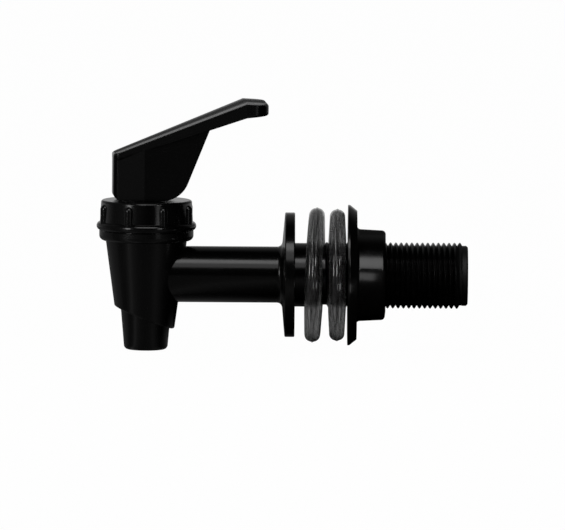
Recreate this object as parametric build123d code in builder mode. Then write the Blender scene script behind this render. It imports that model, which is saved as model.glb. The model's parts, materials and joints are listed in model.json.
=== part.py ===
"""Push-lever tap for a drinks dispenser, in millimetres.

The shank's axis is X, and the origin lies on it at the flange's wall side. +X runs to the threaded end,
+Z is up and the outlet points down.
"""

import os
from math import radians, tan

from build123d import *

# Shank: a G 3/8 pipe thread, drawn at its crest diameter
thread_diameter = 16.66
neck_diameter = 16.0
neck_length = 7.0
thread_end = 42.0
pilot_diameter = 15.1
shank_length = 43.45
shank_bore = 10.4
tube_bore = 10.0
end_chamfer = 0.4

# Wall flange and the tube in front of it
flange_diameter = 31.3
flange_rim = 2.5
flange_cone_rise = 0.75
flange_edge_round = 0.3
tube_diameter = 14.1
tube_fillet = 1.3

# Barrel, collar and the neck that carries the bonnet
stem_offset = 37.35
barrel_top_radius = 10.2
barrel_top = 8.5
barrel_taper = 7.8
collar_radius = 11.85
collar_top = 10.95
collar_round = 1.3
spigot_radius = 9.9
spigot_top = 15.2
barrel_wall = 1.7
chamber_top_radius = 8.2

# Oblique end of the barrel, nozzle and valve seat
skirt_height = -11.1
skirt_slope = 21.5
skirt_round = 0.5
nozzle_root_radius = 6.13
nozzle_root = -11.0
nozzle_taper = 5.0
nozzle_end = -19.0
nozzle_round = 1.1
nozzle_bore_radius = 3.9
nozzle_bore_length = 10.0
outlet_radius = 3.6
chamber_floor = -5.8
seat_height = 0.9
seat_land = 1.4

# Bonnet
bonnet_top = 18.65
bonnet_plate = 2.3
bonnet_radius = 11.4
bonnet_draft = 3.0
bonnet_edge_round = 0.55
bead_radius = 1.08
bead_diameter = 25.06
bonnet_seam = 0.15
rib_count = 8
rib_radius = 1.2
rib_relief = 0.6
rib_top_drop = 0.9
thread_clearance = 0.1

# Stem and hinge pin
stem_radius = 2.45
stem_guide_clearance = 0.08
stem_foot_radius = 3.0
stem_travel = 2.36
travel_reserve = 0.1
button_radius = 3.6
button_height = 1.4
button_bottom = -3.2
pin_height = 22.4
pin_radius = 1.5
pin_seat = 0.02
pin_clearance = 0.05
eye_radius = 3.0
eye_width = 4.6

# Silicone seat cup and its spring
cup_wall = 1.0
cup_rim_play = 0.05
cup_plug_radius = 5.5
cup_floor = 0.2
cup_shoulder = 13.2
cup_shoulder_radius = 7.0
spring_wire = 0.8
spring_radius = 3.85
spring_turns = 6
spring_play = 0.1

# Lever handle, measured from the stem's axis
lever_play = 0.1
lever_turn = 4.0
cheek_width = 11.0
slot_width = 5.0
cheek_break = -0.85
nose_reach = 8.6
nose_width = 7.6
nose_round = 1.8
front_heel_round = 2.0
cam_flat_end = 3.55
cam_radius = 7.0
cheek_lean = 22.0
plate_nose_height = 30.5
plate_slope = 21.6
plate_nose_thickness = 2.1
plate_under_slope = 19.0
plate_nose_width = 8.8
plate_bend_width = 18.2
pad_reach = 30.2
pad_length = 5.6
pad_top_slope = 3.0
pad_under_slope = 6.0
pad_corner = 3.5
plate_edge_round = 0.7
slot_front = 4.8
slot_roof = 1.5
socket_depth = 1.7
snap_width = 2.7

# Silicone washers
front_washer_diameter = 34.0
rear_washer_diameter = 33.3
washer_bore = 17.0
washer_thickness = 4.5
washer_rim_thickness = 3.9
washer_rim_round = 1.7
washer_bore_round = 0.5
front_washer_centre = 5.0
front_washer_lean = 1.7
front_washer_turn = -1.9
rear_washer_centre = 10.65

# Flange nut
nut_gap = 0.4
nut_flange_diameter = 35.3
nut_flange = 2.3
nut_rim = 0.5
nut_bevel = 1.45
nut_rim_round = 0.25
nut_root_round = 0.8
nut_across_flats = 22.0
nut_hex_length = 7.15
nut_draft = 3.0
nut_corner_round = 0.9
nut_end_round = 1.0
nut_turn = 12.0
nut_clearance = 0.1

# Places that follow from the sizes above
stem_axis = Axis((-stem_offset, 0, 0), (0, 0, 1))
stem_plane = Plane(origin=(-stem_offset, 0, 0), x_dir=(1, 0, 0), z_dir=(0, -1, 0))
pin_plane = Plane(origin=(-stem_offset, 0, pin_height), x_dir=(1, 0, 0), z_dir=(0, -1, 0))
bonnet_bottom = collar_top + bonnet_seam
plate_underside = bonnet_top - bonnet_plate
lever_bottom = bonnet_top + lever_play
seat_top = chamber_floor + seat_height
rear_washer_face = rear_washer_centre + washer_thickness / 2
nut_face = rear_washer_face + nut_gap


def grade(degrees):
    return tan(radians(degrees))


def barrel_radius(height):
    """Outer radius of the conical barrel at a height."""
    return barrel_top_radius + (height - barrel_top) * grade(barrel_taper)


def nozzle_radius(height):
    """Outer radius of the conical nozzle at a height."""
    return nozzle_root_radius + (height - nozzle_root) * grade(nozzle_taper)


def round_corner(sketch, corner, radius):
    """Rounds the corner of a flat profile that lies nearest to a point."""
    fillet(sketch.vertices().sort_by_distance(corner)[0], radius)


def turned(part):
    """A piece that goes round with the lever, where the lever stands."""
    return part.rotate(stem_axis, lever_turn)


def save(part, name):
    part.label = name
    export_step(part, f"parts/{name}.step")


os.makedirs("parts", exist_ok=True)

# Tap body: barrel cut off obliquely, nozzle, collar, spigot, tube, flange and shank in one moulding
skirt_low = skirt_height - barrel_radius(skirt_height) * grade(skirt_slope) - skirt_round
skirt_plane = Plane(origin=(-stem_offset, 0, skirt_height)).rotated((0, skirt_slope, 0))
tube_radius = tube_diameter / 2
flange_radius = flange_diameter / 2
flange_front = -flange_rim - flange_cone_rise

with BuildPart() as tap_body:
    with BuildSketch(stem_plane):
        with BuildLine():
            Polyline(
                (0, skirt_low),
                (barrel_radius(skirt_low), skirt_low),
                (barrel_radius(barrel_top), barrel_top),
                (0, barrel_top),
                close=True,
            )
        make_face()
    revolve(axis=stem_axis)
    split(bisect_by=skirt_plane, keep=Keep.TOP)
    skirt_edge = tap_body.edges().group_by(Axis.Z)[0]
    fillet(skirt_edge, skirt_round)

    with BuildSketch(stem_plane) as collar_profile:
        with BuildLine():
            Polyline(
                (0, barrel_top),
                (collar_radius, barrel_top),
                (collar_radius, collar_top),
                (spigot_radius, collar_top),
                (spigot_radius, spigot_top),
                (0, spigot_top),
                close=True,
            )
        make_face()
        round_corner(collar_profile, (collar_radius, barrel_top), collar_round)
    revolve(axis=stem_axis)

    with BuildSketch(stem_plane) as nozzle_profile:
        with BuildLine():
            Polyline(
                (0, nozzle_end),
                (nozzle_radius(nozzle_end), nozzle_end),
                (nozzle_radius(chamber_floor - barrel_wall), chamber_floor - barrel_wall),
                (0, chamber_floor - barrel_wall),
                close=True,
            )
        make_face()
        round_corner(nozzle_profile, (nozzle_radius(nozzle_end), nozzle_end), nozzle_round)
    revolve(axis=stem_axis)

    with BuildSketch(Plane.XZ) as shank_profile:
        with BuildLine():
            Polyline(
                (-stem_offset, 0),
                (-stem_offset, tube_radius),
                (flange_front, tube_radius),
                (-flange_rim, flange_radius),
                (0, flange_radius),
                (0, neck_diameter / 2),
                (neck_length, neck_diameter / 2),
                (neck_length, thread_diameter / 2),
                (thread_end, thread_diameter / 2),
                (thread_end, pilot_diameter / 2),
                (shank_length - end_chamfer, pilot_diameter / 2),
                (shank_length, pilot_diameter / 2 - end_chamfer),
                (shank_length, 0),
                close=True,
            )
        make_face()
        round_corner(shank_profile, (flange_front, tube_radius), tube_fillet)
        round_corner(shank_profile, (-flange_rim, flange_radius), flange_edge_round)
        round_corner(shank_profile, (0, flange_radius), flange_edge_round)
    revolve(axis=Axis.X)

    with BuildSketch(stem_plane):
        with BuildLine():
            Polyline(
                (0, spigot_top),
                (chamber_top_radius, spigot_top),
                (chamber_top_radius, barrel_top),
                (barrel_radius(chamber_floor) - barrel_wall, chamber_floor),
                (outlet_radius + seat_land, chamber_floor),
                (outlet_radius + seat_land, seat_top),
                (0, seat_top),
                close=True,
            )
        make_face()
    revolve(axis=stem_axis, mode=Mode.SUBTRACT)
    with BuildSketch(Plane.XY.offset(nozzle_end)):
        with Locations((-stem_offset, 0)):
            Circle(outlet_radius)
    extrude(amount=seat_top - nozzle_end, mode=Mode.SUBTRACT)
    with BuildSketch(Plane.XY.offset(nozzle_end)):
        with Locations((-stem_offset, 0)):
            Circle(nozzle_bore_radius)
    extrude(amount=nozzle_bore_length, mode=Mode.SUBTRACT)
    with BuildSketch(Plane.YZ.offset(-stem_offset)):
        Circle(tube_bore / 2)
    extrude(amount=stem_offset, mode=Mode.SUBTRACT)
    with BuildSketch(Plane.YZ):
        Circle(shank_bore / 2)
    extrude(amount=shank_length, mode=Mode.SUBTRACT)
save(tap_body.part, "tap_body")

# Bonnet: drafted cap with arched grip ribs and a bead, bored for the spigot and the stem
bonnet_skirt_radius = bonnet_radius + (bonnet_top - bonnet_bottom) * grade(bonnet_draft)
bead_centre = bonnet_bottom + bead_radius
rib_centre = bonnet_skirt_radius + rib_relief - rib_radius
rib_top = bonnet_top - rib_top_drop - rib_radius

with BuildPart() as bonnet:
    with BuildSketch(stem_plane) as bonnet_profile:
        with BuildLine():
            Polyline(
                (0, bonnet_bottom),
                (bonnet_skirt_radius, bonnet_bottom),
                (bonnet_radius, bonnet_top),
                (0, bonnet_top),
                close=True,
            )
        make_face()
        round_corner(bonnet_profile, (bonnet_radius, bonnet_top), bonnet_edge_round)
        with Locations((bead_diameter / 2 - bead_radius, bead_centre)):
            Circle(bead_radius)
    revolve(axis=stem_axis)
    with BuildSketch(Plane.XY.offset(bead_centre)):
        with Locations((-stem_offset, 0)):
            with PolarLocations(rib_centre, rib_count, start_angle=180 / rib_count):
                Circle(rib_radius)
    extrude(amount=rib_top - bead_centre)
    with Locations((-stem_offset, 0, rib_top)):
        with PolarLocations(rib_centre, rib_count, start_angle=180 / rib_count):
            Sphere(rib_radius)
    with BuildSketch(Plane.XY.offset(bonnet_bottom)):
        with Locations((-stem_offset, 0)):
            Circle(spigot_radius + thread_clearance)
    extrude(amount=plate_underside - bonnet_bottom, mode=Mode.SUBTRACT)
    with BuildSketch(Plane.XY.offset(plate_underside)):
        with Locations((-stem_offset, 0)):
            Circle(stem_radius + stem_guide_clearance)
    extrude(amount=bonnet_plate, mode=Mode.SUBTRACT)
save(bonnet.part, "bonnet")

# Stem: button foot in the cup, stop shoulder under the bonnet, flat eye for the pin
shoulder = plate_underside - stem_travel - travel_reserve
button_top = button_bottom + button_height

with BuildPart() as stem:
    with BuildSketch(stem_plane):
        with BuildLine():
            Polyline(
                (0, button_bottom),
                (button_radius, button_bottom),
                (button_radius, button_top),
                (stem_foot_radius, button_top),
                (stem_foot_radius, shoulder),
                (stem_radius, shoulder),
                (stem_radius, pin_height),
                (0, pin_height),
                close=True,
            )
        make_face()
    revolve(axis=stem_axis)
    with BuildSketch(pin_plane):
        Circle(eye_radius)
    extrude(amount=eye_width / 2, both=True)
    with BuildSketch(pin_plane):
        Circle(pin_radius + pin_seat)
    extrude(amount=stem_radius + eye_width, both=True, mode=Mode.SUBTRACT)
save(turned(stem.part), "stem")

# Hinge pin, pressed through the eye and held in the lever's blind sockets
with BuildPart() as hinge_pin:
    with BuildSketch(pin_plane):
        Circle(pin_radius)
    extrude(amount=slot_width / 2 + socket_depth - pin_clearance, both=True)
save(turned(hinge_pin.part), "hinge_pin")

# Seat cup: plug on the seat, bell round the spring, rim clamped between spigot and bonnet
cup_rim_bottom = spigot_top + cup_rim_play
cup_rim_top = plate_underside - cup_rim_play
cup_bottom = seat_top + cup_rim_play

with BuildPart() as seat_cup:
    with BuildSketch(stem_plane):
        with BuildLine():
            Polyline(
                (0, cup_bottom),
                (cup_plug_radius, cup_bottom),
                (cup_plug_radius, cup_floor),
                (cup_shoulder_radius, cup_shoulder),
                (cup_shoulder_radius, cup_rim_bottom),
                (spigot_radius, cup_rim_bottom),
                (spigot_radius, cup_rim_top),
                (cup_shoulder_radius - cup_wall, cup_rim_top),
                (cup_shoulder_radius - cup_wall, cup_shoulder),
                (cup_plug_radius - cup_wall, cup_floor),
                (stem_foot_radius + cup_rim_play, cup_floor),
                (stem_foot_radius + cup_rim_play, button_top + cup_rim_play),
                (button_radius + cup_rim_play, button_top + cup_rim_play),
                (button_radius + cup_rim_play, button_bottom - cup_rim_play),
                (0, button_bottom - cup_rim_play),
                close=True,
            )
        make_face()
    revolve(axis=stem_axis)
save(seat_cup.part, "seat_cup")

# Spring: round wire wound between the cup's floor and the bonnet's underside
spring_bottom = cup_floor + spring_play + spring_wire / 2
spring_top = plate_underside - spring_play - spring_wire / 2

with BuildPart() as spring:
    with BuildLine():
        coil = Helix(
            pitch=(spring_top - spring_bottom) / spring_turns,
            height=spring_top - spring_bottom,
            radius=spring_radius,
            center=(-stem_offset, 0, spring_bottom),
        )
    with BuildSketch(Plane(origin=coil @ 0, z_dir=coil % 0)):
        Circle(spring_wire / 2)
    sweep(is_frenet=True)
save(spring.part, "spring")

# Lever handle: wedge plate with a finger pad, two cheeks with cam corners, a slot for the stem's eye
plate_bend = pad_reach - pad_length
plate_nose_under = plate_nose_height - plate_nose_thickness
bend_top = plate_nose_height + (plate_bend + nose_reach) * grade(plate_slope)
bend_under = plate_nose_under + (plate_bend + nose_reach) * grade(plate_under_slope)
pad_top = bend_top - pad_length * grade(pad_top_slope)
pad_under = bend_under + pad_length * grade(pad_under_slope)
cam_corner = cam_flat_end + cam_radius * grade((90 - cheek_lean) / 2)


def plate_middle(along):
    """Height inside the plate, half its nose thickness above the underside."""
    return plate_nose_under + (along + nose_reach) * grade(plate_under_slope) + plate_nose_thickness / 2


def slot_roof_height(along):
    """Height of the slot's roof, a wall's thickness under the plate."""
    return plate_nose_under + (along + nose_reach) * grade(plate_under_slope) - slot_roof


cheek_top = (plate_middle(cam_corner - lever_bottom * grade(cheek_lean))) / (
    1 - grade(cheek_lean) * grade(plate_under_slope)
)
cheek_back = cam_corner + (cheek_top - lever_bottom) * grade(cheek_lean)

with BuildPart() as lever_plate:
    with BuildSketch(stem_plane):
        with BuildLine():
            Polyline(
                (-nose_reach, plate_nose_under),
                (plate_bend, bend_under),
                (pad_reach, pad_under),
                (pad_reach, pad_top),
                (plate_bend, bend_top),
                (-nose_reach, plate_nose_height),
                close=True,
            )
        make_face()
    extrude(amount=plate_bend_width, both=True)
    with BuildSketch(Plane.XY.offset(plate_nose_under)) as plate_plan:
        with BuildLine():
            Polyline(
                (-stem_offset - nose_reach, -plate_nose_width / 2),
                (-stem_offset + plate_bend, -plate_bend_width / 2),
                (-stem_offset + pad_reach, -plate_bend_width / 2),
                (-stem_offset + pad_reach, plate_bend_width / 2),
                (-stem_offset + plate_bend, plate_bend_width / 2),
                (-stem_offset - nose_reach, plate_nose_width / 2),
                close=True,
            )
        make_face()
        for side in (-1, 1):
            round_corner(plate_plan, (-stem_offset + pad_reach, side * plate_bend_width / 2), pad_corner)
            round_corner(plate_plan, (-stem_offset - nose_reach, side * plate_nose_width / 2), nose_round)
    extrude(amount=bend_top - plate_nose_under, mode=Mode.INTERSECT)
    bends = lever_plate.edges().filter_by(Axis.Y).sort_by(SortBy.LENGTH)[-2:]
    upright = lever_plate.edges().filter_by(Axis.Z)
    fillet(lever_plate.edges() - upright - bends, plate_edge_round)

with BuildPart() as lever_handle:
    with BuildSketch(stem_plane) as cheek_profile:
        with BuildLine():
            Polyline(
                (-nose_reach, lever_bottom),
                (cam_corner, lever_bottom),
                (cheek_back, cheek_top),
                (-nose_reach, plate_middle(-nose_reach)),
                close=True,
            )
        make_face()
        round_corner(cheek_profile, (-nose_reach, lever_bottom), front_heel_round)
        round_corner(cheek_profile, (cam_corner, lever_bottom), cam_radius)
    extrude(amount=cheek_width, both=True)
    with BuildSketch(Plane.XY.offset(lever_bottom)) as cheek_plan:
        with BuildLine():
            Polyline(
                (-stem_offset - nose_reach, -nose_width / 2),
                (-stem_offset + cheek_break, -cheek_width / 2),
                (-stem_offset + cheek_back, -cheek_width / 2),
                (-stem_offset + cheek_back, cheek_width / 2),
                (-stem_offset + cheek_break, cheek_width / 2),
                (-stem_offset - nose_reach, nose_width / 2),
                close=True,
            )
        make_face()
        for side in (-1, 1):
            round_corner(cheek_plan, (-stem_offset - nose_reach, side * nose_width / 2), nose_round)
    extrude(amount=cheek_top - lever_bottom, mode=Mode.INTERSECT)
    add(lever_plate.part)
    with BuildSketch(stem_plane):
        with BuildLine():
            Polyline(
                (-slot_front, 0),
                (plate_bend, 0),
                (plate_bend, slot_roof_height(plate_bend)),
                (-slot_front, slot_roof_height(-slot_front)),
                close=True,
            )
        make_face()
    extrude(amount=slot_width / 2, both=True, mode=Mode.SUBTRACT)
    with BuildSketch(stem_plane):
        with Locations((0, pin_height)):
            Circle(pin_radius + pin_clearance)
            Rectangle(snap_width, pin_height, align=(Align.CENTER, Align.MAX))
    extrude(amount=slot_width / 2 + socket_depth, both=True, mode=Mode.SUBTRACT)
save(turned(lever_handle.part), "lever_handle")


def washer(diameter, centre):
    """Silicone washer on the shank, thinner towards its rounded rim."""
    plane = Plane(origin=(centre, 0, 0), x_dir=(1, 0, 0), z_dir=(0, -1, 0))
    bore = washer_bore / 2
    rim = diameter / 2
    with BuildPart() as ring:
        with BuildSketch(plane) as section:
            with BuildLine():
                Polyline(
                    (-washer_thickness / 2, bore),
                    (washer_thickness / 2, bore),
                    (washer_rim_thickness / 2, rim),
                    (-washer_rim_thickness / 2, rim),
                    close=True,
                )
            make_face()
            for side in (-1, 1):
                round_corner(section, (side * washer_thickness / 2, bore), washer_bore_round)
                round_corner(section, (side * washer_rim_thickness / 2, rim), washer_rim_round)
        revolve(axis=Axis.X)
    return ring.part


# The front washer hangs loose on the neck, leaning and turned a little
front_washer_middle = (front_washer_centre, 0, 0)
front_washer = washer(front_washer_diameter, front_washer_centre)
front_washer = front_washer.rotate(Axis(front_washer_middle, (0, 1, 0)), front_washer_lean)
front_washer = front_washer.rotate(Axis(front_washer_middle, (0, 0, 1)), front_washer_turn)
save(front_washer, "front_washer")
save(washer(rear_washer_diameter, rear_washer_centre), "rear_washer")

# Mounting nut: drafted hexagon on a wide flange that is bevelled towards its rim
nut_flange_radius = nut_flange_diameter / 2

with BuildPart() as mounting_nut:
    with BuildSketch(Plane.XZ) as nut_flange_profile:
        with BuildLine():
            Polyline(
                (nut_face, 0),
                (nut_face, nut_flange_radius),
                (nut_face + nut_rim, nut_flange_radius),
                (nut_face + nut_flange, nut_flange_radius - nut_bevel),
                (nut_face + nut_flange, 0),
                close=True,
            )
        make_face()
        round_corner(nut_flange_profile, (nut_face + nut_rim, nut_flange_radius), nut_rim_round)
    revolve(axis=Axis.X)
    with BuildSketch(Plane.YZ.offset(nut_face + nut_flange)) as hexagon:
        RegularPolygon(nut_across_flats / 2, 6, major_radius=False, rotation=-nut_turn)
        fillet(hexagon.vertices(), nut_corner_round)
    extrude(amount=nut_hex_length, taper=nut_draft)
    fillet(mounting_nut.faces().sort_by(Axis.X)[-1].edges(), nut_end_round)
    nut_shoulder = mounting_nut.faces().filter_by(Axis.X).sort_by(Axis.X)[-2]
    fillet(nut_shoulder.inner_wires()[0].edges(), nut_root_round)
    with BuildSketch(Plane.YZ.offset(nut_face)):
        Circle(thread_diameter / 2 + nut_clearance)
    extrude(amount=nut_flange + nut_hex_length, mode=Mode.SUBTRACT)
save(mounting_nut.part, "mounting_nut")
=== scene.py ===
"""Looks of a push-lever dispenser tap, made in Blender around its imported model.

Lengths are metres in the model's frame: the shank's axis is X, the origin lies on it at the flange's wall
side, the threaded end points to +X and +Z is up.
"""

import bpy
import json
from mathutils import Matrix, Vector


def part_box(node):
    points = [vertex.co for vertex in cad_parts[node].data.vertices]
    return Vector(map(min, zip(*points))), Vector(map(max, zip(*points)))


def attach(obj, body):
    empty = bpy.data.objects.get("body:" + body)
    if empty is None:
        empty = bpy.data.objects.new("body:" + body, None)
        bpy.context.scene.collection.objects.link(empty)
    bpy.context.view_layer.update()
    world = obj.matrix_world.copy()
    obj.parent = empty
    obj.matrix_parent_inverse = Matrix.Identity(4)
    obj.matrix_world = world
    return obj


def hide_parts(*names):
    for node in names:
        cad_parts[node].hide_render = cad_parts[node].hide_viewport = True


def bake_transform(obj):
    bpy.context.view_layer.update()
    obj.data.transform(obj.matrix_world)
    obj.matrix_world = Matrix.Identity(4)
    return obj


bl_info = {
    "name": "Push-lever dispenser tap",
    "version": (1, 0, 0),
    "blender": (4, 5, 0),
    "location": "View3D > Sidebar > Tap",
    "description": "Thread, soft pieces, finishes and studio of a push-lever dispenser tap",
    "category": "Object",
}

import json
import math

import bmesh
import bpy
from mathutils import Euler, Matrix, Vector

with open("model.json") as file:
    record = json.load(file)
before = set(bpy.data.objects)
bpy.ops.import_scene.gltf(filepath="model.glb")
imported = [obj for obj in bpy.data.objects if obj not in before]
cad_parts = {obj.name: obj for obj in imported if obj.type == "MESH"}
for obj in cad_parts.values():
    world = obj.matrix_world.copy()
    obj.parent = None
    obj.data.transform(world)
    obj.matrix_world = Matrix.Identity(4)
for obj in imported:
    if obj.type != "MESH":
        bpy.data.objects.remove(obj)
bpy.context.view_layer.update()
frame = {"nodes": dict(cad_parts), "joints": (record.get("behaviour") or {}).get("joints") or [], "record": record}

MM = 0.001
TURN = 2 * math.pi


def radius_about_x(point):
    """Distance of a point from the shank's axis."""
    return math.hypot(point.y, point.z)


def joint_named(name):
    """The record of one of the tap's joints."""
    return next(joint for joint in frame["joints"] if joint["name"] == name)


def follow_ratio(name):
    """How far a joint moves for each unit of the joint that it follows."""
    couplings = frame["record"]["behaviour"]["couplings"]
    return next(coupling["ratio"] for coupling in couplings if coupling["joint"] == name)


def shank_radius(start, end):
    """Largest distance from the shank's axis among the body's vertices between two places along it."""
    vertices = frame["nodes"]["tap_body"].data.vertices
    return max(radius_about_x(v.co) for v in vertices if start < v.co.x < end)


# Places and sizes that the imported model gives
BODY_LOW, BODY_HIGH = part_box("tap_body")
NUT_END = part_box("mounting_nut")[1].x
SPRING_LOW, SPRING_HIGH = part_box("spring")
CUP_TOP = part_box("seat_cup")[1].z
STEM_AXIS = joint_named("lever_swivel")["pos_m"][0]
LEVER_HINGE = joint_named("lever_press")["axis"]
LEVER_TURN = math.atan2(-LEVER_HINGE[0], LEVER_HINGE[1])
THREAD_PITCH = TURN / follow_ratio("nut_turn")
THREAD_CREST = shank_radius(NUT_END, BODY_HIGH.x)

# Names of the finishes
MOULDED, CROWNED, DULL = "moulded black", "crowned moulded black", "dull moulded black"
SMOKY, STEEL, PAPER = "smoky silicone", "drawn steel", "floor paper"

# Moulded plastic: its typical index, its sheen's patches, and a tool grain drawn coarse enough to show
PLASTIC_IOR = 1.47
SHEEN_PATCH = 5 * MM
SHEEN_SPREAD = 0.02
SHEEN_DETAIL = 2.0
MOULD_GRAIN = 0.35 * MM
LEVER_GRAIN = 0.25 * MM
GRAIN_DEPTH = 0.002 * MM
GRAIN_DETAIL = 3.0
GRAIN_SHARPNESS = 0.6
NOISE_MIDDLE = (0.3, 0.7)

# The shank's end, scuffed from trimming: where it begins along X, and its roughness
SCUFFED_END = (40.2 * MM, 40.8 * MM)
SCUFFED_ROUGHNESS = 0.55

# The nut's rounder top corner: its heights, the hexagon's start along X, and how far it turns the normal up
TOP_CORNER = (7.0 * MM, 11.5 * MM)
HEXAGON_START = (15.4 * MM, 16.2 * MM)
CORNER_LIFT = 1.6

# The lever's plate in plan: half its width over the stem, how that grows along it, and half its full width
LEVER_HALF_WIDTH = 5.6 * MM
LEVER_TAPER = 0.14
LEVER_WIDEST_HALF = 9.1 * MM

# Where hands have rubbed the lever's top, as a share of its half width, and how smooth it is there
RUBBED_SHARE = (0.2, 0.9)
RUBBED_ROUGHNESS = 0.2

# How far the lever's normals point up on its lower round, its upper round and its flat top
LOWER_ROUND = (0.08, 0.18)
UPPER_ROUND = (0.55, 0.7)
FLAT_TOP = (0.86, 0.9)

# How far its normals point sideways off its two ends, and lengthways on the upright edges of its nose
OFF_END = (0.2, 0.35)
NOSE_EDGE = (0.2, 0.3)

# Slope of the worn bevel along the top edges, and how strongly the plain, worn and nose surfaces mirror
WORN_RISE = math.radians(32)
PLAIN_GLOSS = 0.5
WORN_GLOSS = 0.9
NOSE_GLOSS = 0.12

# Silicone: its typical index, its roughness inside and out, and the streaks its mould leaves round a washer
SILICONE_IOR = 1.41
SILICONE_ROUGHNESS = 0.2
SKIN_ROUGHNESS = 0.1
STREAK_WIDTH, STREAK_LENGTH, STREAK_DEPTH = 1.1 * MM, 30 * MM, 0.006 * MM
STREAK_DETAIL = 1.0
STREAK_TINT = (0.6, 1.4)

# Drawn steel: its roughness, and a grain drawn coarse enough to show
STEEL_ROUGHNESS = 0.28
STEEL_GRAIN, STEEL_GRAIN_DEPTH = 0.08 * MM, 0.004 * MM

# How finely the added meshes are made: the distance that is welded, the angle that stays sharp, and the steps
WELD = 0.002 * MM
SHARP_ANGLE = math.radians(35)
THREAD_STEPS = 64
THREAD_PROFILE = 7
COIL_STEPS = 40
WIRE_STEPS = 12
ROUND_STEPS = 8
WASHER_STEPS = 160

# Layer that keeps which face of the solid a face came from
ORIGIN = "solid face"

# Thread: how much steeper its flanks are than a plain tent's, and the turns that it leaves out at its end
FLANK_GAIN = 1.25
RUN_OUT = 0.45

# Washer and valve sizes that the solids share
RIM_SHARE = 3.9 / 4.5
RIM_ROUND = 1.7 * MM
BORE_ROUND = 0.5 * MM
RIDGE_HALF_WIDTH = 0.4 * MM
SPRING_WIRE = 0.8 * MM
CUP_RIM = 1.1 * MM

# Softboxes: name, degrees round from the front, degrees up, distance, width, height and radiance, with 1 as
# white. The first two light the upper sides of the tube, the nut and the lever, the left pair the left of the
# bonnet and the barrel and the washers' rims, the right pair the bonnet's right and the same rims, and the
# last the nut's lower facet.
SOFTBOXES = (
    ("top softbox", -4.0, 58.0, 600 * MM, 420 * MM, 160 * MM, 2.9),
    ("front card", -4.0, 41.0, 600 * MM, 420 * MM, 200 * MM, 1.05),
    ("left softbox", -50.6, 16.5, 334 * MM, 65 * MM, 160 * MM, 1.9),
    ("left strip", -47.0, 10.0, 330 * MM, 50 * MM, 80 * MM, 6.0),
    ("right card", 16.7, 4.4, 158 * MM, 30 * MM, 20 * MM, 1.3),
    ("upper right card", 21.0, 25.2, 169 * MM, 30 * MM, 30 * MM, 5.5),
    ("low card", 32.7, -8.4, 33.7 * MM, 7 * MM, 4.5 * MM, 1.6),
)

# Backdrop in gloss: its level by how far a direction points behind the tap, and what its left side adds
BACKDROP_FALL = (
    (0.0, 0.0), (0.3, 0.01), (0.41, 0.03), (0.51, 0.06), (0.62, 0.095), (0.74, 0.13), (0.85, 0.15),
    (0.91, 0.17), (0.985, 0.5),
)
BACKDROP_LEFT = (-0.9, 0.0, 0.08, 0.0)
ROOM_FILL = 0.2

# The floor's levels in gloss below are a painted glow and a painted pool of light, seen only in reflections
# Floor in gloss near the tap, by the share of a turn about the outlet: 0.25 is the front, 0.5 the right
FLOOR_GLOW = (
    (0.0, 0.07), (0.05, 0.06), (0.085, 0.1), (0.115, 0.26), (0.14, 0.13), (0.18, 0.08), (0.23, 0.06),
    (0.29, 0.07), (0.336, 0.12), (0.37, 0.08), (0.42, 0.02), (0.47, 0.0), (0.7, 0.0), (0.83, 0.09),
    (0.9, 0.11),
)

# Farther floor in gloss: where it begins in front, its level from left to right, and its rise behind the tap
FLOOR_FRONT = (-0.2, -0.4)
FLOOR_ACROSS = (-0.2, 0.05, 0.11, 0.03)
FLOOR_BEHIND = (0.05, 0.6, 0.0, 0.45)

# Painted pool of light on the floor under the tube: its middle, its half sizes and its level
POOL_MIDDLE = (-27 * MM, 13 * MM, BODY_LOW.z)
POOL_SIZE = (36 * MM, 21 * MM, 1.0)
POOL_FALL = (1.0, 0.0, 0.0, 0.15)

# The floor's own size, its gap under the outlet, and the share of its white that no shadow dims
FLOOR_HALF = 4.0
FLOOR_GAP = 0.5 * MM
FLOOR_WHITE = 0.985

# Width of the camera's sensor, in Blender's millimetres
SENSOR_WIDTH = 36.0

# Kinds of node that are added often
MATH, VECTOR_MATH, RANGE = "ShaderNodeMath", "ShaderNodeVectorMath", "ShaderNodeMapRange"
PLACE, SPLIT, JOIN = "ShaderNodeTexCoord", "ShaderNodeSeparateXYZ", "ShaderNodeCombineXYZ"
NOISE, RAMP, TURNED = "ShaderNodeTexNoise", "ShaderNodeValToRGB", "ShaderNodeVectorTransform"
PRINCIPLED, MIX_SHADER = "ShaderNodeBsdfPrincipled", "ShaderNodeMixShader"
FINISH_OUTPUT = "ShaderNodeOutputMaterial"


def linear(code):
    """Linear colour of an sRGB hex code, with full alpha."""
    parts = [int(code[i:i + 2], 16) / 255 for i in (1, 3, 5)]
    return (*[p / 12.92 if p <= 0.04045 else ((p + 0.055) / 1.055) ** 2.4 for p in parts], 1.0)


def add_node(tree, kind, inputs=(), **settings):
    """Adds a node with its settings and links.

    The inputs are in the order of the sockets, or by their names or numbers. Each is a value, an output
    socket, or a node that gives its first output.
    """
    node = tree.nodes.new(kind)
    for name, value in settings.items():
        setattr(node, name, value)
    pairs = inputs.items() if isinstance(inputs, dict) else enumerate(inputs)
    for key, value in pairs:
        if isinstance(value, bpy.types.Node):
            value = value.outputs[0]
        if isinstance(value, bpy.types.NodeSocket):
            tree.links.new(value, node.inputs[key])
        else:
            node.inputs[key].default_value = value
    return node


def set_levels(ramp, stops):
    """Puts grey levels at places along a ramp."""
    elements = ramp.color_ramp.elements
    while len(elements) < len(stops):
        elements.new(0.5)
    for element, (place, level) in zip(elements, stops):
        element.position = place
        element.color = (level, level, level, 1.0)


def new_finish(name):
    """The empty node tree of a new material."""
    material = bpy.data.materials.new(name)
    material.use_nodes = True
    material.node_tree.nodes.clear()
    return material.node_tree


def finish_named(name):
    """One of the materials that the operators make."""
    return bpy.data.materials[name]


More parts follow.
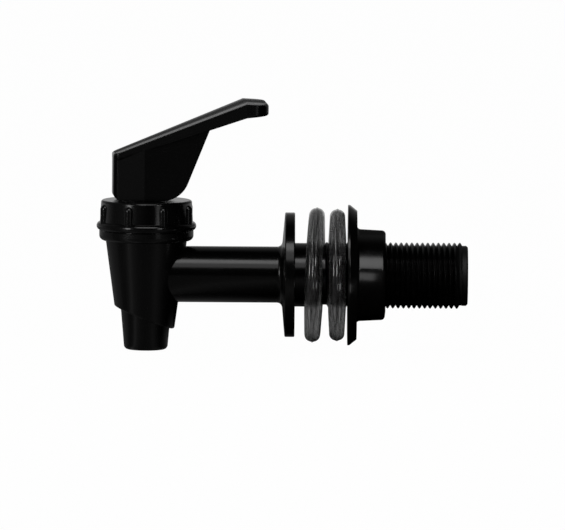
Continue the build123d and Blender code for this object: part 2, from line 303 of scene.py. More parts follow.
def grain_normal(tree, size, depth, base=None):
    """Normal of a fine random grain over a base normal: its size and depth are metres on the piece."""
    noise = add_node(tree, NOISE, {
        "Vector": add_node(tree, PLACE).outputs["Object"], "Scale": 1 / size, "Detail": GRAIN_DETAIL,
        "Roughness": GRAIN_SHARPNESS,
    })
    relief = {"Height": noise, "Strength": 1.0, "Distance": depth}
    if base:
        relief["Normal"] = base
    return add_node(tree, "ShaderNodeBump", relief)


def crowned_normal(tree, normal, crown):
    """A normal leaned out from the shank's axis, as on crowned facets, and up at the hexagon's top corner."""
    place = add_node(tree, PLACE).outputs["Object"]
    spot = add_node(tree, SPLIT, (place,))
    height = add_node(tree, RANGE, (spot.outputs["Z"], *TOP_CORNER))
    hexagon = add_node(tree, RANGE, (spot.outputs["X"], *HEXAGON_START))
    corner = add_node(tree, MATH, (height, hexagon), operation="MULTIPLY")
    rise = add_node(tree, MATH, (corner, CORNER_LIFT), operation="MULTIPLY")
    lift = add_node(tree, JOIN, (0.0, 0.0, rise))
    outward = add_node(tree, VECTOR_MATH, (place, (0.0, 1.0, 1.0)), operation="MULTIPLY")
    unit = add_node(tree, VECTOR_MATH, (outward,), operation="NORMALIZE")
    lean = add_node(tree, VECTOR_MATH, (unit, (crown, crown, crown), lift), operation="MULTIPLY_ADD")
    turned = add_node(tree, TURNED, (lean,), vector_type="VECTOR", convert_from="OBJECT", convert_to="WORLD")
    both = add_node(tree, VECTOR_MATH, (normal, turned), operation="ADD")
    return add_node(tree, VECTOR_MATH, (both,), operation="NORMALIZE")


def moulded_plastic(name, colour, roughness, crown=0.0):
    """Black moulded plastic: a deep satin black whose sheen wanders a little, over a fine tool grain.

    The shank's trimmed end is duller. A crown bends the light on a nut's facets.
    """
    tree = new_finish(name)
    place = add_node(tree, PLACE).outputs["Object"]
    patches = add_node(tree, NOISE, {"Vector": place, "Scale": 1 / SHEEN_PATCH, "Detail": SHEEN_DETAIL})
    sheen = add_node(tree, RANGE, (
        patches, *NOISE_MIDDLE, roughness - SHEEN_SPREAD, roughness + SHEEN_SPREAD,
    ))
    spot = add_node(tree, SPLIT, (place,))
    scuffed = add_node(tree, RANGE, (spot.outputs["X"], *SCUFFED_END))
    dulled = add_node(tree, RANGE, {"Value": scuffed, "To Min": sheen, "To Max": SCUFFED_ROUGHNESS})
    normal = grain_normal(tree, MOULD_GRAIN, GRAIN_DEPTH)
    if crown:
        normal = crowned_normal(tree, normal, crown)
    plastic = add_node(tree, PRINCIPLED, {
        "Base Color": colour, "Roughness": dulled, "IOR": PLASTIC_IOR, "Normal": normal,
    })
    add_node(tree, FINISH_OUTPUT, (plastic,))


def rubbed_top(tree, place):
    """How far hands have rubbed the lever's top: none along its middle, and fully by its edges."""
    own = add_node(tree, "ShaderNodeMapping", {
        "Vector": place, "Location": (STEM_AXIS, 0.0, 0.0), "Rotation": (0.0, 0.0, LEVER_TURN),
    }, vector_type="TEXTURE")
    spot = add_node(tree, SPLIT, (own,))
    along = spot.outputs["X"]
    widening = add_node(tree, MATH, (along, LEVER_TAPER, LEVER_HALF_WIDTH), operation="MULTIPLY_ADD")
    half_width = add_node(tree, MATH, (widening, LEVER_WIDEST_HALF), operation="MINIMUM")
    aside = add_node(tree, MATH, (spot.outputs["Y"],), operation="ABSOLUTE")
    share = add_node(tree, MATH, (aside, half_width), operation="DIVIDE")
    return add_node(tree, RANGE, (share, *RUBBED_SHARE))


def handled_plastic(name, colour, dull, polished):
    """Black moulded plastic of the lever: a dull top rubbed shiny by its edges, and dark polished flanks."""
    tree = new_finish(name)
    place = add_node(tree, PLACE)
    facing = add_node(tree, SPLIT, (place.outputs["Normal"],))
    endways, sideways, upwards = facing.outputs

    upper = add_node(tree, RANGE, (upwards, *UPPER_ROUND))
    on_top = add_node(tree, RANGE, (upwards, *FLAT_TOP))
    off_flank = add_node(tree, RANGE, (upwards, *LOWER_ROUND))
    off_end = add_node(tree, RANGE, (add_node(tree, MATH, (sideways,), operation="ABSOLUTE"), *OFF_END))
    on_nose = add_node(tree, RANGE, (add_node(tree, MATH, (endways,), operation="ABSOLUTE"), *NOSE_EDGE))

    off_top = add_node(tree, MATH, (1.0, on_top), operation="SUBTRACT")
    edge = add_node(tree, MATH, (upper, off_end), operation="MULTIPLY")
    worn = add_node(tree, MATH, (edge, off_top), operation="MULTIPLY")
    below = add_node(tree, MATH, (1.0, upper), operation="SUBTRACT")
    lower = add_node(tree, MATH, (off_flank, below), operation="MULTIPLY")
    upright = add_node(tree, MATH, (1.0, lower), operation="SUBTRACT")
    flattened = add_node(tree, MATH, (upwards, upright), operation="MULTIPLY")
    steep = add_node(tree, JOIN, (endways, sideways, flattened))
    side = add_node(tree, MATH, (sideways,), operation="SIGN")
    outwards = add_node(tree, MATH, (side, math.cos(WORN_RISE)), operation="MULTIPLY")
    bevel = add_node(tree, JOIN, (0.0, outwards, math.sin(WORN_RISE)))
    shaped = add_node(tree, "ShaderNodeMix", {"Factor": worn, 4: steep, 5: bevel}, data_type="VECTOR")
    turned = add_node(tree, TURNED, (shaped.outputs[1],), vector_type="NORMAL", convert_from="OBJECT",
                      convert_to="WORLD")

    rubbed = rubbed_top(tree, place.outputs["Object"])
    top_sheen = add_node(tree, RANGE, {"Value": rubbed, "To Min": dull, "To Max": RUBBED_ROUGHNESS})
    sheen = add_node(tree, RANGE, {"Value": on_top, "To Min": polished, "To Max": top_sheen})
    on_flank = add_node(tree, MATH, (1.0, off_flank), operation="SUBTRACT")
    nose = add_node(tree, MATH, (on_nose, on_flank), operation="MULTIPLY")
    dimming = NOSE_GLOSS - PLAIN_GLOSS
    flank_gloss = add_node(tree, MATH, (nose, dimming, PLAIN_GLOSS), operation="MULTIPLY_ADD")
    gloss = add_node(tree, MATH, (worn, WORN_GLOSS - PLAIN_GLOSS, flank_gloss), operation="MULTIPLY_ADD")
    plastic = add_node(tree, PRINCIPLED, {
        "Base Color": colour, "Roughness": sheen, "IOR": PLASTIC_IOR, "Specular IOR Level": gloss,
        "Normal": grain_normal(tree, LEVER_GRAIN, GRAIN_DEPTH, turned),
    })
    add_node(tree, FINISH_OUTPUT, (plastic,))


def smoky_silicone(name, colour):
    """Smoky silicone: grey light comes through it in faint streaks round the ring, under a shinier skin."""
    tree = new_finish(name)
    drawn = add_node(tree, VECTOR_MATH, (
        add_node(tree, PLACE).outputs["Object"], (1 / STREAK_WIDTH, 1 / STREAK_LENGTH, 1 / STREAK_LENGTH),
    ), operation="MULTIPLY")
    streaks = add_node(tree, NOISE, {"Vector": drawn, "Scale": 1.0, "Detail": STREAK_DETAIL})
    tint = add_node(tree, RANGE, (streaks, *NOISE_MIDDLE, *STREAK_TINT))
    shade = add_node(tree, VECTOR_MATH, {0: colour[:3], "Scale": tint}, operation="SCALE")
    ripple = add_node(tree, "ShaderNodeBump", {"Height": streaks, "Strength": 1.0, "Distance": STREAK_DEPTH})
    silicone = add_node(tree, PRINCIPLED, {
        "Base Color": shade, "Roughness": SILICONE_ROUGHNESS, "IOR": SILICONE_IOR, "Transmission Weight": 1.0,
        "Normal": ripple, "Coat Weight": 1.0, "Coat Roughness": SKIN_ROUGHNESS, "Coat IOR": SILICONE_IOR,
    })
    add_node(tree, FINISH_OUTPUT, (silicone,))


def drawn_steel(name, colour):
    """Drawn stainless wire: bright metal with a fine broken grain."""
    tree = new_finish(name)
    steel = add_node(tree, PRINCIPLED, {
        "Base Color": colour, "Metallic": 1.0, "Roughness": STEEL_ROUGHNESS,
        "Normal": grain_normal(tree, STEEL_GRAIN, STEEL_GRAIN_DEPTH),
    })
    add_node(tree, FINISH_OUTPUT, (steel,))


def backdrop_world(world):
    """White to the eye and through the silicone; in gloss only the backdrop behind the tap is white."""
    world.use_nodes = True
    tree = world.node_tree
    tree.nodes.clear()
    split = add_node(tree, SPLIT, (add_node(tree, PLACE).outputs["Generated"],))
    behind = add_node(tree, RAMP, (split.outputs["Y"],))
    set_levels(behind, BACKDROP_FALL)
    beside = add_node(tree, RANGE, (split.outputs["X"], *BACKDROP_LEFT))
    mirrored = add_node(tree, MATH, (behind, beside), operation="ADD")
    fill = add_node(tree, "ShaderNodeBackground", (linear("#ffffff"), ROOM_FILL))
    gloss = add_node(tree, "ShaderNodeBackground", (linear("#ffffff"), mirrored))
    white = add_node(tree, "ShaderNodeBackground", (linear("#ffffff"), 1.0))
    path = add_node(tree, "ShaderNodeLightPath").outputs
    seen = add_node(tree, MATH, (path["Is Camera Ray"], path["Is Transmission Ray"]), operation="MAXIMUM")
    in_gloss = add_node(tree, MIX_SHADER, (path["Is Glossy Ray"], fill, gloss))
    all_rays = add_node(tree, MIX_SHADER, (seen, in_gloss, white))
    add_node(tree, "ShaderNodeOutputWorld", (all_rays,))


def floor_gloss(tree):
    """Painted floor glow in gloss: the softboxes' glow near the tap, the room's farther off, and the pool."""
    place = add_node(tree, PLACE).outputs["Object"]
    split = add_node(tree, SPLIT, (place,))
    about = add_node(tree, VECTOR_MATH, (place, (STEM_AXIS, 0.0, 0.0)), operation="SUBTRACT")
    round_outlet = add_node(tree, "ShaderNodeTexGradient", (about,), gradient_type="RADIAL")
    near = add_node(tree, RAMP, (round_outlet.outputs["Fac"],))
    set_levels(near, FLOOR_GLOW)
    in_front = add_node(tree, RANGE, (split.outputs["Y"], *FLOOR_FRONT))
    across = add_node(tree, RANGE, (split.outputs["X"], *FLOOR_ACROSS))
    glow = add_node(tree, "ShaderNodeMix", {"Factor": in_front, 2: near, 3: across})
    behind = add_node(tree, RANGE, (split.outputs["Y"], *FLOOR_BEHIND), interpolation_type="SMOOTHSTEP")
    from_pool = add_node(tree, VECTOR_MATH, (place, POOL_MIDDLE), operation="SUBTRACT")
    in_pool = add_node(tree, VECTOR_MATH, (from_pool, POOL_SIZE), operation="DIVIDE")
    reach = add_node(tree, VECTOR_MATH, (in_pool,), operation="LENGTH")
    pool = add_node(tree, RANGE, (reach.outputs["Value"], *POOL_FALL))
    farther = add_node(tree, MATH, (glow, behind), operation="MAXIMUM")
    return add_node(tree, MATH, (farther, pool), operation="MAXIMUM")


def floor_paper(name):
    """White paper: white to the eye with a faint shadow, and in gloss a painted glow for the light on it."""
    tree = new_finish(name)
    paper = add_node(tree, "ShaderNodeBsdfDiffuse", {"Color": linear("#e6e6e6")})
    # Painted glow: the floor's emission that only reflections see
    gloss = add_node(tree, "ShaderNodeEmission", (linear("#ffffff"), floor_gloss(tree)))
    white = add_node(tree, "ShaderNodeEmission", (linear("#ffffff"), 1.0))
    shadowed = add_node(tree, MIX_SHADER, (FLOOR_WHITE, paper, white))
    path = add_node(tree, "ShaderNodeLightPath").outputs
    seen = add_node(tree, MATH, (path["Is Camera Ray"], path["Is Transmission Ray"]), operation="MAXIMUM")
    in_gloss = add_node(tree, MIX_SHADER, (path["Is Glossy Ray"], paper, gloss))
    all_rays = add_node(tree, MIX_SHADER, (seen, in_gloss, shadowed))
    add_node(tree, FINISH_OUTPUT, (all_rays,))


class TapFinishes(bpy.types.PropertyGroup):
    """Colours and sheen of the tap's pieces."""

    plastic: bpy.props.FloatVectorProperty(
        name="Plastic", description="Colour of the moulded pieces", subtype="COLOR", size=4,
        min=0.0, max=1.0, default=linear("#030303"),
    )
    plastic_roughness: bpy.props.FloatProperty(
        name="Plastic roughness", description="Roughness of the body and the bonnet",
        subtype="FACTOR", min=0.05, max=1.0, default=0.17,
    )
    lever_roughness: bpy.props.FloatProperty(
        name="Lever roughness", description="Roughness of the lever's top face, which has a dull tool finish",
        subtype="FACTOR", min=0.05, max=1.0, default=0.65,
    )
    edge_roughness: bpy.props.FloatProperty(
        name="Edge roughness", description="Roughness of the lever's edges and flanks",
        subtype="FACTOR", min=0.05, max=1.0, default=0.2,
    )
    nut_crown: bpy.props.FloatProperty(
        name="Nut crown", description="How far the nut's facets are crowned: 0 is flat", min=0.0, default=1.0,
    )
    silicone: bpy.props.FloatVectorProperty(
        name="Silicone", description="Tint of the light that comes through the washers", subtype="COLOR",
        size=4, min=0.0, max=1.0, default=linear("#6c6c6c"),
    )
    steel: bpy.props.FloatVectorProperty(
        name="Steel", description="Colour of the spring and the pin", subtype="COLOR", size=4,
        min=0.0, max=1.0, default=linear("#c8c6c2"),
    )


class TapStudio(bpy.types.PropertyGroup):
    """Camera and lights of the studio."""

    distance: bpy.props.FloatProperty(
        name="Camera distance", description="From the camera to the point it looks at",
        unit="LENGTH", min=0.2, default=2.5,
    )
    field: bpy.props.FloatProperty(
        name="Field width", description="Width of the picture at the point the camera looks at",
        unit="LENGTH", min=0.01, default=142.0 * MM,
    )
    aim: bpy.props.FloatVectorProperty(
        name="Aim", description="Point that the camera looks at", subtype="XYZ", unit="LENGTH", size=3,
        default=(-3.1 * MM, 0.0, 2.43 * MM),
    )
    yaw: bpy.props.FloatProperty(
        name="Yaw", description="How far the camera stands towards the outlet's end",
        subtype="ANGLE", default=math.radians(0.1),
    )
    elevation: bpy.props.FloatProperty(
        name="Elevation", description="How far the camera looks down",
        subtype="ANGLE", default=math.radians(5.4),
    )
    roll: bpy.props.FloatProperty(
        name="Roll", description="Tilt of the camera about its own axis",
        subtype="ANGLE", default=math.radians(0.4),
    )


class TapSizes(bpy.types.PropertyGroup):
    """Sizes of what the scene adds to the solids."""

    thread_depth: bpy.props.FloatProperty(
        name="Thread depth", description="From the thread's crest to its root",
        unit="LENGTH", min=0.1 * MM, default=0.856 * MM,
    )
    thread_fade: bpy.props.FloatProperty(
        name="Thread fade", description="Turns over which the thread runs out at each end",
        min=0.1, default=0.25,
    )
    parting_ridge: bpy.props.FloatProperty(
        name="Parting ridge", description="Height of the mould's parting ridge round a washer's rim",
        unit="LENGTH", min=0.0, default=0.2 * MM,
    )
    front_lean: bpy.props.FloatProperty(
        name="Front washer's lean", description="How far the front washer leans on the shank",
        subtype="ANGLE", default=math.radians(1.7),
    )
    front_turn: bpy.props.FloatProperty(
        name="Front washer's turn", description="How far the front washer is turned about the upright",
        subtype="ANGLE", default=math.radians(-1.9),
    )
    spring_turns: bpy.props.FloatProperty(
        name="Spring turns", description="Working turns of the spring", min=1.0, default=6.0,
    )


class TAP_OT_finishes(bpy.types.Operator):
    """Gives each moulded, silicone and steel piece its finish"""

    bl_idname = "tap.finishes"
    bl_label = "Finishes"

    def execute(self, context):
        look = context.scene.tap_finishes
        moulded_plastic(MOULDED, look.plastic, look.plastic_roughness)
        moulded_plastic(CROWNED, look.plastic, look.plastic_roughness, look.nut_crown)
        handled_plastic(DULL, look.plastic, look.lever_roughness, look.edge_roughness)
        smoky_silicone(SMOKY, look.silicone)
        drawn_steel(STEEL, look.steel)
        finish_of = {
            "tap_body": MOULDED, "bonnet": MOULDED, "stem": MOULDED, "mounting_nut": CROWNED,
            "lever_handle": DULL, "front_washer": SMOKY, "rear_washer": SMOKY, "seat_cup": SMOKY,
            "spring": STEEL, "hinge_pin": STEEL,
        }
        for node, finish in finish_of.items():
            for slot in frame["nodes"][node].material_slots:
                slot.material = finish_named(finish)
        return {"FINISHED"}


def nearest_corner(solid, face, place):
    """The corner of a solid's face that lies nearest to a place."""
    places = {c: solid.vertices[solid.loops[c].vertex_index].co for c in face.loop_indices}
    return min(places, key=lambda c: (places[c] - place).length)


def merged_copy(node, name):
    """A copy of a solid with its loose triangles joined and the solid's true normals, ready to be shaped."""
    solid = frame["nodes"][node].data
    mesh = solid.copy()
    mesh.name = name
    work = bmesh.new()
    work.from_mesh(mesh)
    origin = work.faces.layers.int.new(ORIGIN)
    for face in work.faces:
        face[origin] = face.index
    bmesh.ops.remove_doubles(work, verts=work.verts, dist=WELD)
    work.to_mesh(mesh)
    work.free()
    normals = []
    for face in mesh.polygons:
        source = solid.polygons[mesh.attributes[ORIGIN].data[face.index].value]
        for vertex in face.vertices:
            corner = nearest_corner(solid, source, mesh.vertices[vertex].co)
            normals.append(solid.corner_normals[corner].vector)
    mesh.normals_split_custom_set(normals)
    mesh.attributes.remove(mesh.attributes[ORIGIN])
    copy = bpy.data.objects.new(name, mesh)
    bpy.context.scene.collection.objects.link(copy)
    return copy


def smooth_by_angle(mesh):
    """Smooth shading that keeps the sharp edges of a moulding."""
    mesh.polygons.foreach_set("use_smooth", [True] * len(mesh.polygons))
    mesh.set_sharp_from_angle(angle=SHARP_ANGLE)


def node_group(name, inputs):
    """An empty Geometry Nodes tree with named inputs, and the sockets that give them."""
    tree = bpy.data.node_groups.new(name, "GeometryNodeTree")
    for label, kind in inputs.items():
        tree.interface.new_socket(name=label, in_out="INPUT", socket_type=kind)
    tree.interface.new_socket(name="Geometry", in_out="OUTPUT", socket_type="NodeSocketGeometry")
    return tree, add_node(tree, "NodeGroupInput").outputs


def end_tree(tree, geometry, material):
    """Ends a tree with real geometry in its material."""
    real = add_node(tree, "GeometryNodeRealizeInstances", (geometry,))
    painted = add_node(tree, "GeometryNodeSetMaterial", {"Geometry": real, "Material": material})
    add_node(tree, "NodeGroupOutput", (painted,))


def grown_mesh(name, tree, values):
    """The plain mesh that a tree gives for its named inputs."""
    host = bpy.data.objects.new(name, bpy.data.meshes.new(name))
    bpy.context.scene.collection.objects.link(host)
    modifier = host.modifiers.new(tree.name, "NODES")
    modifier.node_group = tree
    for item in tree.interface.items_tree:
        if item.in_out == "INPUT":
            modifier[item.identifier] = values[item.name]
    graph = bpy.context.evaluated_depsgraph_get()
    mesh = bpy.data.meshes.new_from_object(host.evaluated_get(graph))
    mesh.name = name
    host.modifiers.remove(modifier)
    bpy.data.objects.remove(host)
    return mesh


def thread_tree():
    """Helical strip about X: steps run round the helix, and each step crosses one pitch from root to root."""
    tree, given = node_group("screw thread", {
        "Crest radius": "NodeSocketFloat", "Depth": "NodeSocketFloat", "Pitch": "NodeSocketFloat",
        "Start": "NodeSocketFloat", "End": "NodeSocketFloat", "Turns": "NodeSocketFloat",
        "Fade": "NodeSocketFloat", "Material": "NodeSocketMaterial",
    })
    steps = add_node(tree, MATH, (given["Turns"], THREAD_STEPS), operation="MULTIPLY")
    strip = add_node(tree, "GeometryNodeMeshGrid", {"Vertices X": steps, "Vertices Y": THREAD_PROFILE})

    # Turns round the helix, and the share of a pitch across it, from each vertex's number
    index = add_node(tree, "GeometryNodeInputIndex")
    rows = add_node(tree, MATH, (index, THREAD_PROFILE), operation="DIVIDE")
    step = add_node(tree, MATH, (rows,), operation="FLOOR")
    turn = add_node(tree, MATH, (step, THREAD_STEPS), operation="DIVIDE")
    column = add_node(tree, MATH, (index, THREAD_PROFILE), operation="MODULO")
    across = add_node(tree, MATH, (column, THREAD_PROFILE - 1), operation="DIVIDE")

    # The thread's height fades at both ends and falls from its crest to its root on both sides
    to_go = add_node(tree, MATH, (given["Turns"], turn), operation="SUBTRACT")
    left = add_node(tree, MATH, (to_go, 1 / THREAD_STEPS), operation="SUBTRACT")
    from_end = add_node(tree, MATH, (turn, left), operation="MINIMUM")
    tall = add_node(tree, MATH, (from_end, given["Fade"]), operation="DIVIDE", use_clamp=True)
    aslant = add_node(tree, MATH, (across, 2.0, -1.0), operation="MULTIPLY_ADD")
    aside = add_node(tree, MATH, (aslant,), operation="ABSOLUTE")
    tent = add_node(tree, MATH, (1.0, aside), operation="SUBTRACT")
    flank = add_node(tree, MATH, (tent, FLANK_GAIN), operation="MULTIPLY", use_clamp=True)
    share = add_node(tree, MATH, (flank, tall), operation="MULTIPLY")
    rise = add_node(tree, MATH, (share, given["Depth"]), operation="MULTIPLY")
    root = add_node(tree, MATH, (given["Crest radius"], given["Depth"]), operation="SUBTRACT")
    radius = add_node(tree, MATH, (root, rise), operation="ADD")

    # Each vertex's place
    travel = add_node(tree, MATH, (turn, across), operation="ADD")
    reach = add_node(tree, MATH, (travel, given["Pitch"], given["Start"]), operation="MULTIPLY_ADD")
    along = add_node(tree, MATH, (reach, given["End"]), operation="MINIMUM")
    angle = add_node(tree, MATH, (turn, TURN), operation="MULTIPLY")
    cosine = add_node(tree, MATH, (angle,), operation="COSINE")
    sine = add_node(tree, MATH, (angle,), operation="SINE")
    forward = add_node(tree, MATH, (radius, cosine), operation="MULTIPLY")
    upward = add_node(tree, MATH, (radius, sine), operation="MULTIPLY")
    place = add_node(tree, JOIN, (along, forward, upward))
    wound = add_node(tree, "GeometryNodeSetPosition", {"Geometry": strip, "Position": place})
    end_tree(tree, wound, given["Material"])
    return tree


class TAP_OT_threaded_body(bpy.types.Operator):
    """Cuts the shank's thread into a copy of the body"""

    bl_idname = "tap.threaded_body"
    bl_label = "Threaded body"

    def execute(self, context):
        sizes = context.scene.tap_sizes
        body = merged_copy("tap_body", "threaded_body")
        crests = [
            v for v in body.data.vertices
            if v.co.x > 0 and abs(radius_about_x(v.co) - THREAD_CREST) < WELD
        ]
        start = min(v.co.x for v in crests)
        end = max(v.co.x for v in crests)
        shrink = 1 - sizes.thread_depth / THREAD_CREST
        for vertex in crests:
            vertex.co.y *= shrink
            vertex.co.z *= shrink
        thread = grown_mesh("thread", thread_tree(), {
            "Crest radius": THREAD_CREST, "Depth": sizes.thread_depth, "Pitch": THREAD_PITCH, "Start": start,
            "End": end, "Turns": (end - start) / THREAD_PITCH - RUN_OUT, "Fade": sizes.thread_fade,
            "Material": finish_named(MOULDED),
        })
        work = bmesh.new()
        work.from_mesh(thread)
        bmesh.ops.remove_doubles(work, verts=work.verts, dist=WELD)
        bmesh.ops.recalc_face_normals(work, faces=work.faces)
        if sum(face.normal.dot(face.calc_center_median() * Vector((0, 1, 1))) for face in work.faces) < 0:
            bmesh.ops.reverse_faces(work, faces=work.faces)
        work.to_mesh(thread)
        work.free()
        smooth_by_angle(thread)
        strip = bpy.data.objects.new("thread", thread)
        context.scene.collection.objects.link(strip)
        with context.temp_override(active_object=body, selected_editable_objects=[body, strip]):
            bpy.ops.object.join()
        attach(body, "body")
        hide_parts("tap_body")
        return {"FINISHED"}


def quarter_turn():
    """Evenly spread angles over a quarter turn."""
    return [math.pi / 2 * i / ROUND_STEPS for i in range(1, ROUND_STEPS + 1)]


def washer_section(width_bore, width_rim, bore, rim, ridge):
    """Half of a washer's section as (along, radius) points, from the bore's middle to the rim's ridge."""
    shoulder = rim - ridge - RIM_ROUND
    points = [(0.0, bore), (width_bore / 2 - BORE_ROUND, bore)]
    points += [(width_bore / 2 - BORE_ROUND * (1 - math.sin(a)), bore + BORE_ROUND * (1 - math.cos(a)))
               for a in quarter_turn()]
    points += [(width_rim / 2 - RIM_ROUND * (1 - math.cos(a)), shoulder + RIM_ROUND * math.sin(a))
               for a in quarter_turn()]
    points += [(RIDGE_HALF_WIDTH, rim - ridge), (RIDGE_HALF_WIDTH / 2, rim - ridge / 3), (0.0, rim)]
    return points


def lathe(name, section, steps):
    """A closed ring about X, from half a section that is mirrored about its middle plane."""
    loop = section + [(-x, r) for x, r in reversed(section[1:-1])]
    mesh = bpy.data.meshes.new(name)
    vertices, faces = [], []
    for i in range(steps):
        angle = TURN * i / steps
        vertices += [(x, r * math.cos(angle), r * math.sin(angle)) for x, r in loop]
    count = len(loop)
    for i in range(steps):
        for j in range(count):
            here, beyond = i * count, (i + 1) % steps * count
            faces.append((here + j, here + (j + 1) % count, beyond + (j + 1) % count, beyond + j))
    mesh.from_pydata(vertices, [], faces)
    work = bmesh.new()
    work.from_mesh(mesh)
    bmesh.ops.recalc_face_normals(work, faces=work.faces)
    work.to_mesh(mesh)
    work.free()
    return mesh


class TAP_OT_washers(bpy.types.Operator):
    """Makes the two silicone washers with the parting ridge round their rims"""

    bl_idname = "tap.washers"
    bl_label = "Washers"

    def execute(self, context):
        sizes = context.scene.tap_sizes
        rear_low, rear_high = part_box("rear_washer")
        bore = min(radius_about_x(v.co) for v in frame["nodes"]["rear_washer"].data.vertices)
        width = rear_high.x - rear_low.x
        for node, body, lean, turn in (
            ("front_washer", "body", sizes.front_lean, sizes.front_turn), ("rear_washer", "clamp", 0.0, 0.0),
        ):
            low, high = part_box(node)
            middle = (low + high) / 2
            upright = Matrix.Rotation(turn, 4, "Z") @ Matrix.Rotation(lean, 4, "Y")
            vertices = frame["nodes"][node].data.vertices
            rim = max((upright.inverted() @ (v.co - middle)).yz.length for v in vertices)
            section = washer_section(width, width * RIM_SHARE, bore, rim, sizes.parting_ridge)
            mesh = lathe(node + "_ring", section, WASHER_STEPS)
            mesh.transform(Matrix.Translation(middle) @ upright)
            smooth_by_angle(mesh)
            mesh.materials.append(finish_named(SMOKY))
            ring = bpy.data.objects.new(mesh.name, mesh)
            context.scene.collection.objects.link(ring)
            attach(ring, body)
            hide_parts(node)
        return {"FINISHED"}


def coil_tree():
    """Round wire wound along a spiral about Z."""
    tree, given = node_group("wound spring", {
        "Radius": "NodeSocketFloat", "Wire": "NodeSocketFloat", "Height": "NodeSocketFloat",
        "Turns": "NodeSocketFloat", "Place": "NodeSocketVector", "Material": "NodeSocketMaterial",
    })
    spiral = add_node(tree, "GeometryNodeCurveSpiral", {
        "Resolution": COIL_STEPS, "Rotations": given["Turns"], "Start Radius": given["Radius"],
        "End Radius": given["Radius"], "Height": given["Height"], "Reverse": True,
    })
    half_wire = add_node(tree, MATH, (given["Wire"], 0.5), operation="MULTIPLY")
    wire = add_node(tree, "GeometryNodeCurvePrimitiveCircle", {"Resolution": WIRE_STEPS, "Radius": half_wire})
    wound = add_node(tree, "GeometryNodeCurveToMesh", {
        "Curve": spiral, "Profile Curve": wire, "Fill Caps": True,
    })
    placed = add_node(tree, "GeometryNodeTransform", {"Geometry": wound, "Translation": given["Place"]})
    end_tree(tree, placed, given["Material"])
    return tree


class TAP_OT_valve(bpy.types.Operator):
    """Makes the spring and the seat cup that take the solids' places"""

    bl_idname = "tap.valve"
    bl_label = "Valve"

    def execute(self, context):
        mesh = grown_mesh("wound_spring", coil_tree(), {
            "Radius": (SPRING_HIGH.x - SPRING_LOW.x - SPRING_WIRE) / 2, "Wire": SPRING_WIRE,
            "Height": SPRING_HIGH.z - SPRING_LOW.z - SPRING_WIRE,
            "Turns": context.scene.tap_sizes.spring_turns,
            "Place": (STEM_AXIS, 0.0, SPRING_LOW.z + SPRING_WIRE / 2), "Material": finish_named(STEEL),
        })
        smooth_by_angle(mesh)
        spring = bpy.data.objects.new("wound_spring", mesh)
        context.scene.collection.objects.link(spring)
        cup = merged_copy("seat_cup", "soft_cup")
        for piece, node, finish, low, high in (
            (spring, "spring", "stainless_steel", SPRING_LOW.z, SPRING_HIGH.z),
            (cup, "seat_cup", "silicone", 0.0, CUP_TOP - CUP_RIM),
        ):
            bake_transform(piece)
            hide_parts(node)
        return {"FINISHED"}


def direction(azimuth, elevation):
    """Unit vector by its turn from the front towards +X and its rise, in radians."""
    level = math.cos(elevation)
    return Vector((math.sin(azimuth) * level, -math.cos(azimuth) * level, math.sin(elevation)))


def softbox(name, azimuth, elevation, distance, width, height, radiance):
    """A rectangular lamp that faces the tap: its radiance is what a mirror would show, with 1 as white."""
    lamp = bpy.data.lights.new(name, "AREA")
    lamp.shape = "RECTANGLE"
    lamp.size = width
    lamp.size_y = height
    lamp.energy = radiance * math.pi * width * height
    away = direction(math.radians(azimuth), math.radians(elevation))
    lamp_object = bpy.data.objects.new(name, lamp)
    lamp_object.location = away * distance
    lamp_object.rotation_euler = away.to_track_quat("Z", "Y").to_euler()
    lamp_object.visible_camera = False
    bpy.context.scene.collection.objects.link(lamp_object)


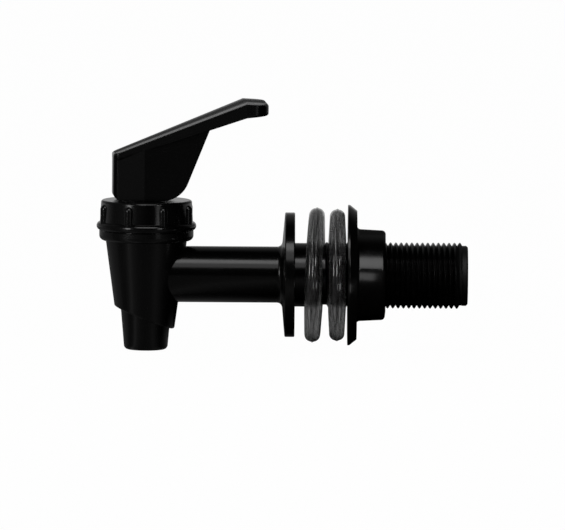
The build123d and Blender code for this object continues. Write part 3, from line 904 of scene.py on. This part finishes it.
class TAP_OT_studio(bpy.types.Operator):
    """Sets up the camera, the softboxes, the white backdrop and the floor"""

    bl_idname = "tap.studio"
    bl_label = "Studio"

    def execute(self, context):
        scene = context.scene
        studio = scene.tap_studio
        scene.view_settings.view_transform = "Standard"

        camera = bpy.data.cameras.new("camera")
        camera.sensor_width = SENSOR_WIDTH
        camera.lens = camera.sensor_width * studio.distance / studio.field
        away = direction(-studio.yaw, studio.elevation)
        camera_object = bpy.data.objects.new("camera", camera)
        camera_object.location = Vector(studio.aim) + away * studio.distance
        turn = away.to_track_quat("Z", "Y") @ Euler((0.0, 0.0, studio.roll)).to_quaternion()
        camera_object.rotation_euler = turn.to_euler()
        scene.collection.objects.link(camera_object)
        scene.camera = camera_object

        for lamp in SOFTBOXES:
            softbox(*lamp)
        scene.world = bpy.data.worlds.new("studio")
        backdrop_world(scene.world)

        half = FLOOR_HALF
        level = BODY_LOW.z - FLOOR_GAP
        corners = [(-half, -half, level), (half, -half, level), (half, half, level), (-half, half, level)]
        floor_mesh = bpy.data.meshes.new("floor")
        floor_mesh.from_pydata(corners, [], [(0, 1, 2, 3)])
        floor = bpy.data.objects.new("floor", floor_mesh)
        floor_paper(PAPER)
        floor_mesh.materials.append(finish_named(PAPER))
        scene.collection.objects.link(floor)
        return {"FINISHED"}


class TAP_PT_panel(bpy.types.Panel):
    """The tap's sizes, finishes and studio"""

    bl_idname = "TAP_PT_panel"
    bl_label = "Dispenser tap"
    bl_space_type = "VIEW_3D"
    bl_region_type = "UI"
    bl_category = "Tap"

    def draw(self, context):
        for settings in (context.scene.tap_sizes, context.scene.tap_finishes, context.scene.tap_studio):
            box = self.layout.box()
            for name in settings.__annotations__:
                box.prop(settings, name)
        for operator in OPERATORS:
            self.layout.operator(operator.bl_idname)


OPERATORS = (TAP_OT_finishes, TAP_OT_threaded_body, TAP_OT_washers, TAP_OT_valve, TAP_OT_studio)
CLASSES = (TapSizes, TapFinishes, TapStudio, *OPERATORS, TAP_PT_panel)


def register():
    """Adds the tap's settings, operators and panel to Blender."""
    for cls in CLASSES:
        bpy.utils.register_class(cls)
    bpy.types.Scene.tap_sizes = bpy.props.PointerProperty(type=TapSizes)
    bpy.types.Scene.tap_finishes = bpy.props.PointerProperty(type=TapFinishes)
    bpy.types.Scene.tap_studio = bpy.props.PointerProperty(type=TapStudio)


def unregister():
    """Takes the tap's panel, operators and settings out again."""
    del bpy.types.Scene.tap_studio
    del bpy.types.Scene.tap_finishes
    del bpy.types.Scene.tap_sizes
    for cls in reversed(CLASSES):
        bpy.utils.unregister_class(cls)


def main():
    """Makes the tap's looks and its studio."""
    register()
    bpy.ops.tap.finishes()
    bpy.ops.tap.threaded_body()
    bpy.ops.tap.washers()
    bpy.ops.tap.valve()
    bpy.ops.tap.studio()


if __name__ == "__main__":
    main()
